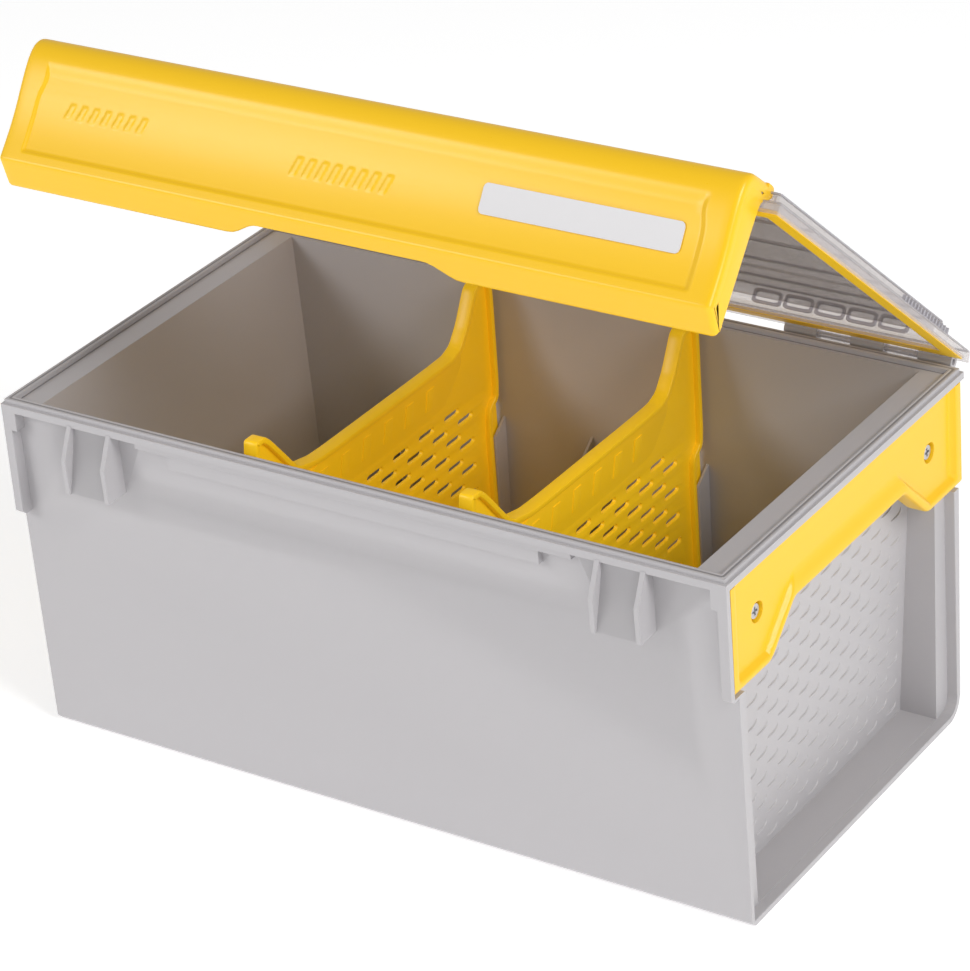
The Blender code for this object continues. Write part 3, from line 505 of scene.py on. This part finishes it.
def makeLabelCard():
    # a sheet of (x, down) laid on the face panel's floor, its corners rounded, with a small thickness
    long, tall, corner = card["long"], card["tall"], card["corner"]
    lift = -cover["panelDepth"] + 0.25 * mm
    middleX = (labelLow.x + labelHigh.x) / 2
    bend = np.linspace(0, corner, 7)
    middle = np.linspace(corner, long - corner, 30)
    x = np.concatenate([bend[:-1], middle, long - np.linspace(corner, 0, 7)[1:]])
    x = x - long / 2
    over = np.clip(np.abs(x) - (long / 2 - corner), 0, corner)
    reach = tall / 2 - (corner - np.sqrt(np.maximum(corner ** 2 - over ** 2, 0)))
    down = card["down"] + np.linspace(-1, 1, 9)[None, :] * reach[:, None]
    low = latchPlace(middleX + x[:, None], faceForward(down) + lift, down)
    high = latchPlace(middleX + x[:, None], faceForward(down) + lift + card["thick"], down)
    sheet = sweptPiece("label_card_sheet", np.concatenate([high, low[:, ::-1]], axis=1), smooth=30)
    finishPiece(sheet, "latch", "label", cardSurface, "label_card")


makeLatchCover()
makeLabelCard()
print("latch cover made")


pockets = {"first": 0.0985, "pitch": 15.6 * mm, "count": 5, "wide": 14.4 * mm, "low": 1.4 * mm,
           "high": 8.2 * mm, "back": -31.1 * mm, "thick": 1.3 * mm, "border": 1.5 * mm}
trims = {"crown": (0.1812, -205.4 * mm, -28.9 * mm, 10.3 * mm, 0.55 * mm),  # half width, front, rear, up, size
         "flange": (0.1844, -209.7 * mm, -1.6 * mm, 5.5 * mm, 0.50 * mm),
         "corner": 1.6 * mm,
         "ribs": (-58, -92, -127, -163), "ribHalf": 0.1788}  # ribs' places in mm, forward of the hinge
fins = {"count": 15, "pitch": 3.5 * mm, "start": -27 * mm, "x": 0.1826, "wide": 1.7 * mm}


def makeLidPockets():
    # a row of open frames standing inside the crown's rear wall, over each hinge
    middle, tall = (pockets["low"] + pockets["high"]) / 2, pockets["high"] - pockets["low"]
    square = np.array([(-1, -1), (1, -1), (1, 1), (-1, 1)])
    outer = cutCorners(square * (pockets["wide"] / 2, tall / 2), 3, closed=True, share=0.12)
    inner = outer * (1 - 2 * pockets["border"] / pockets["wide"], 1 - 2 * pockets["border"] / tall)
    for side, word in ((-1, "left"), (1, "right")):
        for k in range(pockets["count"]):
            x = side * (pockets["first"] + k * pockets["pitch"])
            cell = flatPiece(f"lid_pocket_{word}_{k}", [outer + (x, middle), inner + (x, middle)],
                             lambda a, b, h: lidPlace(a, h, b),
                             pockets["back"] - pockets["thick"], pockets["back"], edge=0.35 * mm)
            finishPiece(cell, "lid", "lid", lidRelief)


def makeLidTrims():
    # fine raised lines round the crown's top and round the flange, and cross ribs under the crown's roof
    turn = np.linspace(0, 2 * np.pi, 10, endpoint=False)
    for word in ("crown", "flange"):
        halfX, front, rear, up, thick = trims[word]
        middle, halfBack = (front + rear) / 2, (rear - front) / 2
        rings = []
        for a in turn:
            out = thick * np.cos(a)
            loop = roundedRing(halfX + out, halfBack + out, trims["corner"] + out)
            rings.append(lidPlace(loop[:, 0], middle + loop[:, 1], up + thick * np.sin(a)))
        line = sweptPiece(f"lid_{word}_line", np.stack(rings, axis=1), smooth=50, loop=True)
        finishPiece(line, "lid", "lid", lidRelief)
    for k, back in enumerate(trims["ribs"]):
        corner = np.array([(-0.8, 7.5), (0.8, 7.5), (0.8, 8.45), (-0.8, 8.45)]) * mm
        along = np.linspace(-trims["ribHalf"], trims["ribHalf"], 12)
        ends = [lidPlace(x, back * mm + corner[:, 0], corner[:, 1]) for x in along]
        finishPiece(sweptPiece(f"lid_cross_rib_{k}", ends, smooth=20), "lid", "lid", lidRelief)


def makeLidFins():
    # short fins in a row on the flange beside the crown, near the hinge
    for side, word in ((-1, "left"), (1, "right")):
        outline = np.array([(0, 5.9), (1.4, 5.9), (1.1, 8.6), (0.3, 8.6)]) * mm
        points, faces = [], []
        back = fins["start"] - np.arange(fins["count"]) * fins["pitch"]
        for k in range(fins["count"]):
            for x in (fins["x"], fins["x"] + fins["wide"]):
                points.append(lidPlace(side * x, back[k] - outline[:, 0], outline[:, 1]))
            s = 8 * k
            faces += [(s, s + 1, s + 2, s + 3), (s + 7, s + 6, s + 5, s + 4)]
            faces += [(s + a, s + (a + 1) % 4, s + 4 + (a + 1) % 4, s + 4 + a) for a in range(4)]
        row = meshPiece(f"lid_fins_{word}", np.concatenate(points), faces, smooth=20)
        finishPiece(row, "lid", "lid", lidRelief)


makeLidPockets()
makeLidTrims()
makeLidFins()
print("lid details made")


grip = {"half": 0.1000, "top": plateHigh.z, "foot": plateLow.z, "raised": 0.1355, "gripHalf": 0.0485,
        "slope": 0.0210, "thick": 3.0 * mm, "round": 2.6 * mm, "turnIn": 10.5 * mm, "lipHalf": 0.0915,
        "screwY": 0.0753, "screwZ": 0.1425, "cup": 4.3 * mm, "cupDepth": 6.8 * mm, "field": 2.8 * mm}


def gripFoot(y):
    # height of the plate's lower edge: low at both ends, raised in the middle, with soft corners
    share = np.zeros_like(y)
    spread = np.linspace(-2.4 * mm, 2.4 * mm, 9)
    for step in spread:
        share = share + np.clip((np.abs(y + step) - grip["gripHalf"]) / grip["slope"], 0, 1)
    return grip["raised"] + (grip["foot"] - grip["raised"]) * share / len(spread)


def gripField(y, z):
    # 1 in the sunken middle of the plate, 0 on its border: a straight wall at the ends and along the low
    # feet, a broader one along the two slopes and a wide cove over the fingers
    y = np.abs(y)
    rise = grip["raised"] - grip["foot"]
    slope = (y - grip["gripHalf"]) * rise + (z - grip["raised"]) * grip["slope"]
    slope = slope / math.hypot(rise, grip["slope"])
    low = softStep(3.8 * mm, 6.2 * mm, z - grip["foot"])
    inside = np.maximum(softStep(1.5 * mm, 12 * mm, z - grip["raised"]), softStep(3.2 * mm, 6.0 * mm, slope))
    return np.minimum(low, inside) * softStep(3.8 * mm, 6.0 * mm, grip["half"] - y)


def makeGripPlate(side, word):
    # surface of (y, way down): the outer face from the top edge down, round the lower edge and in as a grip;
    # the face is sunk by a field and by a cup round each screw; the grip turns in only between the walls
    near = np.arange(-6 * mm, 6.01 * mm, 0.35 * mm)
    even = np.linspace(-grip["half"], grip["half"], 190)
    y = np.unique(np.round(np.concatenate([even, grip["screwY"] + near, -grip["screwY"] - near]), 5))
    foot = gripFoot(y)[:, None]
    tall = grip["top"] - foot - grip["round"]
    flat = np.unique(np.round(np.concatenate([np.linspace(0, 1, 48), (grip["top"] - grip["screwZ"] + near) /
                                              (grip["top"] - grip["foot"] - grip["round"])]), 4))[None, :]
    z = grip["top"] - flat * tall
    yy = np.broadcast_to(y[:, None], z.shape)
    fromScrew = np.minimum(*(np.hypot(yy - s * grip["screwY"], z - grip["screwZ"]) for s in (-1, 1)))
    cups = 1 - softStep(grip["cup"] - 0.2 * mm, grip["cup"] + 0.35 * mm, fromScrew)
    field = gripField(yy, z) * grip["field"]
    skin = halfLength - 0.05 * mm
    x = skin - field - cups * (grip["cupDepth"] - field)
    turn = np.linspace(0, np.pi / 2, 9)[None, 1:]
    roundX = skin - grip["round"] * (1 - np.cos(turn)) + 0 * foot
    roundZ = foot + grip["round"] * (1 - np.sin(turn))
    reach = 1 - softStep(grip["lipHalf"] - 0.8 * mm, grip["lipHalf"] + 0.4 * mm, np.abs(y))[:, None]
    thin = grip["thick"] + 0.05 * mm
    deep = thin + (grip["turnIn"] - thin) * reach
    lipX = skin - grip["round"] - (deep - grip["round"]) * np.array([0.3, 0.6, 0.85, 0.97, 1.0])[None, :]
    lipZ = foot + np.array([0, 0, 0.05, 0.3, 1.0])[None, :] * mm
    inward = [deep, deep - 0.5 * mm * reach, thin + 1.2 * mm * reach, thin + 0 * reach]
    backX = skin - np.concatenate(inward, axis=1)
    backZ = foot + np.array([1.7, 2.3, 2.5, 3.8])[None, :] * mm
    cupBack = 1 - softStep(grip["cup"] + 0.8 * mm, grip["cup"] + 1.5 * mm, fromScrew)
    innerX = skin - thin - np.maximum(field - 1.5 * mm, 0) - cupBack * (grip["cupDepth"] - 1.8 * mm)
    innerX = innerX[:, ::-1]
    innerZ = np.maximum(z[:, ::-1], foot + 4.3 * mm)
    px = np.concatenate([x, roundX, lipX, backX, innerX], axis=1)
    pz = np.concatenate([z, roundZ, lipZ, backZ, innerZ], axis=1)
    py = np.broadcast_to(y[:, None], px.shape)
    plate = sweptPiece(f"grip_plate_{word}_moulding", np.stack([side * px, py, pz], axis=-1), smooth=42)
    finishPiece(plate, "tub", "yellow", yellowPlastic, f"grip_plate_{word}")


for side, word in ((-1, "left"), (1, "right")):
    makeGripPlate(side, word)
print("grip plates made")


divider = {"x": 0.0552, "web": 2.0 * mm, "wide": 7.0 * mm, "rim": 2.6 * mm, "round": 0.5 * mm,
           "pitch": 21 * mm, "row": 6.65 * mm, "rows": 14, "topRow": 0.1173, "reach": 0.0772,
           "slotLong": 12.5 * mm, "slotTall": 3.0 * mm, "slotStart": 13.5 * mm,
           "marks": 6, "markPitch": 17 * mm, "markZ": 0.1338}


def dividerEdge():
    # the divider's edge in (y, z): rear foot, rear post, hollow down to the ledge, front tab, front foot
    return np.array([(0.0840, 0.0040), (0.0840, 0.1050), (0.0921, 0.1115), (0.0928, 0.1732), (0.0790, 0.1732),
                     (0.0700, 0.1570), (0.0635, 0.1490), (0.0560, 0.1463), (-0.0620, 0.1463),
                     (-0.0850, 0.1746), (-0.0937, 0.1746), (-0.0937, 0.1115), (-0.0840, 0.1050),
                     (-0.0840, 0.0040)])


def movedIn(loop, distance):
    # a closed line drawn in sideways, corner by corner, so that its sides stay parallel
    before, after = loop - np.roll(loop, 1, axis=0), np.roll(loop, -1, axis=0) - loop
    before, after = [v / np.linalg.norm(v, axis=1)[:, None] for v in (before, after)]
    normal = np.stack([-(before + after)[:, 1], (before + after)[:, 0]], axis=1)
    normal /= np.linalg.norm(normal, axis=1)[:, None]
    spread = np.maximum(np.sum(normal * np.stack([-before[:, 1], before[:, 0]], axis=1), axis=1), 0.5)
    return loop + normal * (distance / spread)[:, None]


def slotLoops():
    # staggered rows of short slots with round ends
    turn = np.linspace(-np.pi / 2, np.pi / 2, 6)
    end = np.stack([np.cos(turn), np.sin(turn)], axis=1) * divider["slotTall"] / 2
    shift = np.array([divider["slotLong"] / 2 - divider["slotTall"] / 2, 0])
    slot = np.vstack([end + shift, -end - shift])
    loops = []
    for row in range(divider["rows"]):
        z = divider["topRow"] - row * divider["row"]
        for column in range(-5, 5):
            y = divider["slotStart"] + (column + (row % 2) / 2) * divider["pitch"]
            if abs(y) + divider["slotLong"] / 2 < divider["reach"]:
                loops.append(slot + (y, z))
    return loops


def makeDivider(side, word):
    middle = side * divider["x"]
    def place(a, b, h):
        return np.stack([middle + h, a, b], axis=-1)
    edge = cutCorners(dividerEdge(), 3, closed=True, share=0.12)
    edge = edge[np.linalg.norm(edge - np.roll(edge, 1, axis=0), axis=1) > 0.02 * mm]
    web = flatPiece(f"divider_{word}_web", [movedIn(edge, 0.6 * mm)] + slotLoops(), place,
                    -divider["web"] / 2, divider["web"] / 2, edge=0.25 * mm)
    finishPiece(web, "tub", "yellow", glowingDividerPlastic, f"divider_{word}")
    turn = np.linspace(0, 2 * np.pi, 16, endpoint=False) + np.pi / 16
    circle = np.stack([np.cos(turn), np.sin(turn)], axis=1)
    corner = np.array([divider["wide"] / 2, divider["rim"] / 2]) - divider["round"]
    section = np.sign(circle) * corner + divider["round"] * circle
    rings = []
    for across, inward in section:
        loop = movedIn(edge, divider["rim"] / 2 + inward)
        rings.append(np.column_stack([np.full(len(loop), middle + across), loop]))
    rim = sweptPiece(f"divider_{word}_rim", np.stack(rings, axis=1), smooth=50, loop=True)
    finishPiece(rim, "tub", "yellow", glowingDividerPlastic)
    band = cutCorners([(-0.0640, 0.1445), (0.0570, 0.1445), (0.0655, 0.1475), (0.0660, 0.1400),
                       (0.0560, 0.1300), (0.0480, 0.1235), (-0.0640, 0.1235)], 3, closed=True, share=0.2)
    for face, letter in ((-1, "a"), (1, "b")):
        low, high = sorted((face * 0.8 * mm, face * (divider["web"] / 2 + 0.6 * mm)))
        raised = flatPiece(f"divider_{word}_band_{letter}", [band], place, low, high, edge=0.25 * mm)
        finishPiece(raised, "tub", "yellow", glowingDividerPlastic)
        for k in range(divider["marks"]):
            y = (k - (divider["marks"] - 1) / 2) * divider["markPitch"] - 4 * mm
            bar = np.array([(-4.2, -5.0), (1.8, -5.0), (4.2, 5.0), (-1.8, 5.0)]) * (face * mm, mm)
            bar = bar + (y, divider["markZ"])
            low, high = sorted((face * 1.2 * mm, face * (divider["web"] / 2 + 1.0 * mm)))
            mark = flatPiece(f"divider_{word}_mark_{letter}{k}", [bar], place, low, high, edge=0.2 * mm)
            finishPiece(mark, "tub", "yellow", glowingDividerPlastic)
    for wall, end, foot in ((-1, "front", 0.0046), (1, "rear", 0.0120)):
        tongue = np.array([(0.0830, foot), (0.0919, foot), (0.0919, 0.1060), (0.0830, 0.1060)]) * (wall, 1)
        tongue = flatPiece(f"divider_{word}_tongue_{end}", [tongue], place,
                           -divider["web"] / 2, divider["web"] / 2, edge=0.25 * mm)
        finishPiece(tongue, "tub", "yellow", glowingDividerPlastic)


for side, word in ((-1, "left"), (1, "right")):
    makeDivider(side, word)
print("dividers made")


tub = {"beadOut": 1.45 * mm, "beadWide": 1.15 * mm, "beadGap": 1.05 * mm, "corner": 3.0 * mm}


def makeRimBeads():
    # two fine half-round beads carried round the rim, one inside the other
    for k, word in enumerate(("outer", "inner")):
        inset = tub["beadOut"] + k * (tub["beadWide"] + tub["beadGap"]) + tub["beadWide"] / 2
        turn = np.linspace(0, np.pi, 9)
        half = tub["beadWide"] / 2
        across = np.concatenate([np.cos(turn) * half, [-half, half]])
        lift = np.concatenate([np.sin(turn) * 0.55 * mm + 1.68 * mm, [-0.4 * mm, -0.4 * mm]])
        rings = []
        for a, up in zip(across, lift):
            loop = roundedRing(halfLength - inset + a, -rimFront - inset + a,
                               tub["corner"] - inset + a + 1.2 * mm)
            rings.append(np.column_stack([loop, np.full(len(loop), rimTop + up)]))
        bead = sweptPiece(f"rim_bead_{word}", np.stack(rings, axis=1), smooth=50, loop=True)
        finishPiece(bead, "tub", "tub", greyPlastic)
    for word, inset, up in (("middle", 3.12 * mm, 2.02 * mm), ("inner", 5.6 * mm, 0.02 * mm)):
        # painted shade: dark strips laid in the grooves beside the beads, where shade falls
        rings = []
        for a, b in ((-0.45, -0.3), (0.45, -0.3), (0.45, 0.03), (-0.45, 0.03)):
            loop = roundedRing(halfLength - inset + a * mm, -rimFront - inset + a * mm, 1.2 * mm)
            rings.append(np.column_stack([loop, np.full(len(loop), rimTop + up + b * mm)]))
        line = sweptPiece(f"rim_shade_strip_{word}", np.stack(rings, axis=1), smooth=20, loop=True)
        finishPiece(line, "tub", "tub", shadeLineGrey)


def panelX(z):
    # outer face of the recessed end panel
    return 0.1595 + 2.2 * mm + 8.0 * mm * (z - 3 * mm) / (rimTop - 3 * mm)


ridge = {"pitchY": 9.1 * mm, "pitchZ": 12.6 * mm, "long": 10.8 * mm, "tall": 3.4 * mm, "wide": 1.2 * mm,
         "high": 0.8 * mm, "reachY": 74 * mm, "top": 0.150}


def makeChevrons():
    # raised strokes laid like bricks, each a half-round ridge along a line of (y, z) that runs level and then
    # bends up at its rear end; a stroke is a grid of (way along, way round), and all are worked out together
    pitchZ, wide = ridge["pitchZ"], ridge["wide"]
    columns, rows = np.meshgrid(np.arange(-8, 9), np.arange(0, 12), indexing="ij")
    y0 = (columns * ridge["pitchY"]).ravel()
    z0 = (8 * mm + rows * pitchZ + np.where(columns % 2, pitchZ / 2, 0)).ravel()
    keep = (np.abs(y0) < ridge["reachY"]) & (z0 < ridge["top"])
    y0, z0 = y0[keep], z0[keep]
    way = np.linspace(-1, 1, 9)
    turn = np.linspace(0, np.pi, 5)
    lineY = way * ridge["long"] / 2 - np.maximum(way, 0) ** 4 * 1.5 * mm
    lineZ = ridge["tall"] * (np.maximum(way - 0.1, 0) ** 2.2 + 0.08 * way)
    slim = np.sqrt(np.clip(1 - way ** 4, 0.02, 1))
    off = np.cos(turn)[None, :] * wide / 2 * slim[:, None]
    up = np.sin(turn)[None, :] * ridge["high"] * slim[:, None] - 0.15 * mm
    y = y0[:, None, None] + lineY[None, :, None] - off[None] * 0.6
    z = z0[:, None, None] + lineZ[None, :, None] + off[None] * 0.8
    ones = gridFaces(len(way), len(turn), loopColumns=True)
    ends = [(0, 1, 2, 3, 4), (40, 41, 42, 43, 44)]
    for side, word in ((-1, "left"), (1, "right")):
        x = side * (panelX(z) + up[None])
        points = np.stack([x, y, z], axis=-1)
        count = points.shape[1] * points.shape[2]
        starts = np.arange(len(y0)) * count
        faces = (starts[:, None, None] + ones[None]).reshape(-1, 4).tolist()
        faces += [[s + v for v in end] for s in starts for end in ends]
        ridges = meshPiece(f"panel_ridges_{word}", points, faces, smooth=60)
        finishPiece(ridges, "tub", "tub", greyPlastic)


makeRimBeads()
makeChevrons()
print("tub details made")


stage = {"floorHalf": 6.0, "floorGlow": 0.42, "skyLow": 0.62, "skyHigh": 0.30,
         "key": ((-1.3, -1.6, 1.25), (0, 0, 0.15), 0.8, 15),  # place, aim, size, power
         "side": ((1.9, -0.5, 1.6), (0, 0, 0.12), 0.9, 30)}


def makeFloor():
    size, under = stage["floorHalf"], -0.2 * mm
    mesh = bpy.data.meshes.new("floor")
    corners = [(a * size, b * size, under) for a, b in ((-1, -1), (1, -1), (1, 1), (-1, 1))]
    mesh.from_pydata(corners, [], [(0, 1, 2, 3)])
    floor = bpy.data.objects.new("floor", mesh)
    bpy.context.scene.collection.objects.link(floor)
    paint = bpy.data.materials.new("paleFloor")
    paint.use_nodes = True
    shader = paint.node_tree.nodes["Principled BSDF"]
    shader.inputs["Base Color"].default_value = (0.95, 0.95, 0.95, 1)
    shader.inputs["Emission Color"].default_value = (1, 1, 1, 1)
    shader.inputs["Emission Strength"].default_value = stage["floorGlow"]
    shader.inputs["Roughness"].default_value = 0.9
    shader.inputs["Specular IOR Level"].default_value = 0.1
    mesh.materials.append(paint)


def softBox(name, place, target, size, power):
    light = bpy.data.lights.new(name, "AREA")
    light.shape, light.size, light.energy = "SQUARE", size, power
    made = bpy.data.objects.new(name, light)
    made.location = place
    way = np.subtract(target, place)
    made.rotation_euler = (math.atan2(math.hypot(way[0], way[1]), -way[2]), 0, math.atan2(-way[0], way[1]))
    bpy.context.scene.collection.objects.link(made)
    return made


makeFloor()
world = bpy.data.worlds.new("studio")
world.use_nodes = True
sky = world.node_tree.nodes["Background"]
way = world.node_tree.nodes.new("ShaderNodeTexCoord")
split = world.node_tree.nodes.new("ShaderNodeSeparateXYZ")
dim = world.node_tree.nodes.new("ShaderNodeMapRange")
dim.inputs["From Min"].default_value, dim.inputs["From Max"].default_value = 0.05, 0.75
dim.inputs["To Min"].default_value, dim.inputs["To Max"].default_value = stage["skyLow"], stage["skyHigh"]
world.node_tree.links.new(way.outputs["Generated"], split.inputs["Vector"])
world.node_tree.links.new(split.outputs["Z"], dim.inputs["Value"])
world.node_tree.links.new(dim.outputs["Result"], sky.inputs["Strength"])
sky.inputs["Color"].default_value = (1, 1, 1, 1)
bpy.context.scene.world = world
softBox("keyBox", *stage["key"])
softBox("sideBox", *stage["side"])

camera = bpy.data.cameras.new("camera")
camera.lens, camera.sensor_width = 146.2, 36.0
camera.clip_start, camera.clip_end = 0.05, 30
cameraHolder = bpy.data.objects.new("camera", camera)
cameraHolder.location = (0.8864, -1.2600, 0.9493)
cameraHolder.rotation_euler = [math.radians(a) for a in (61.65, 4.04, 32.94)]
bpy.context.scene.collection.objects.link(cameraHolder)
bpy.context.scene.camera = cameraHolder
bpy.context.scene.view_settings.view_transform = "Standard"
print("stage made")
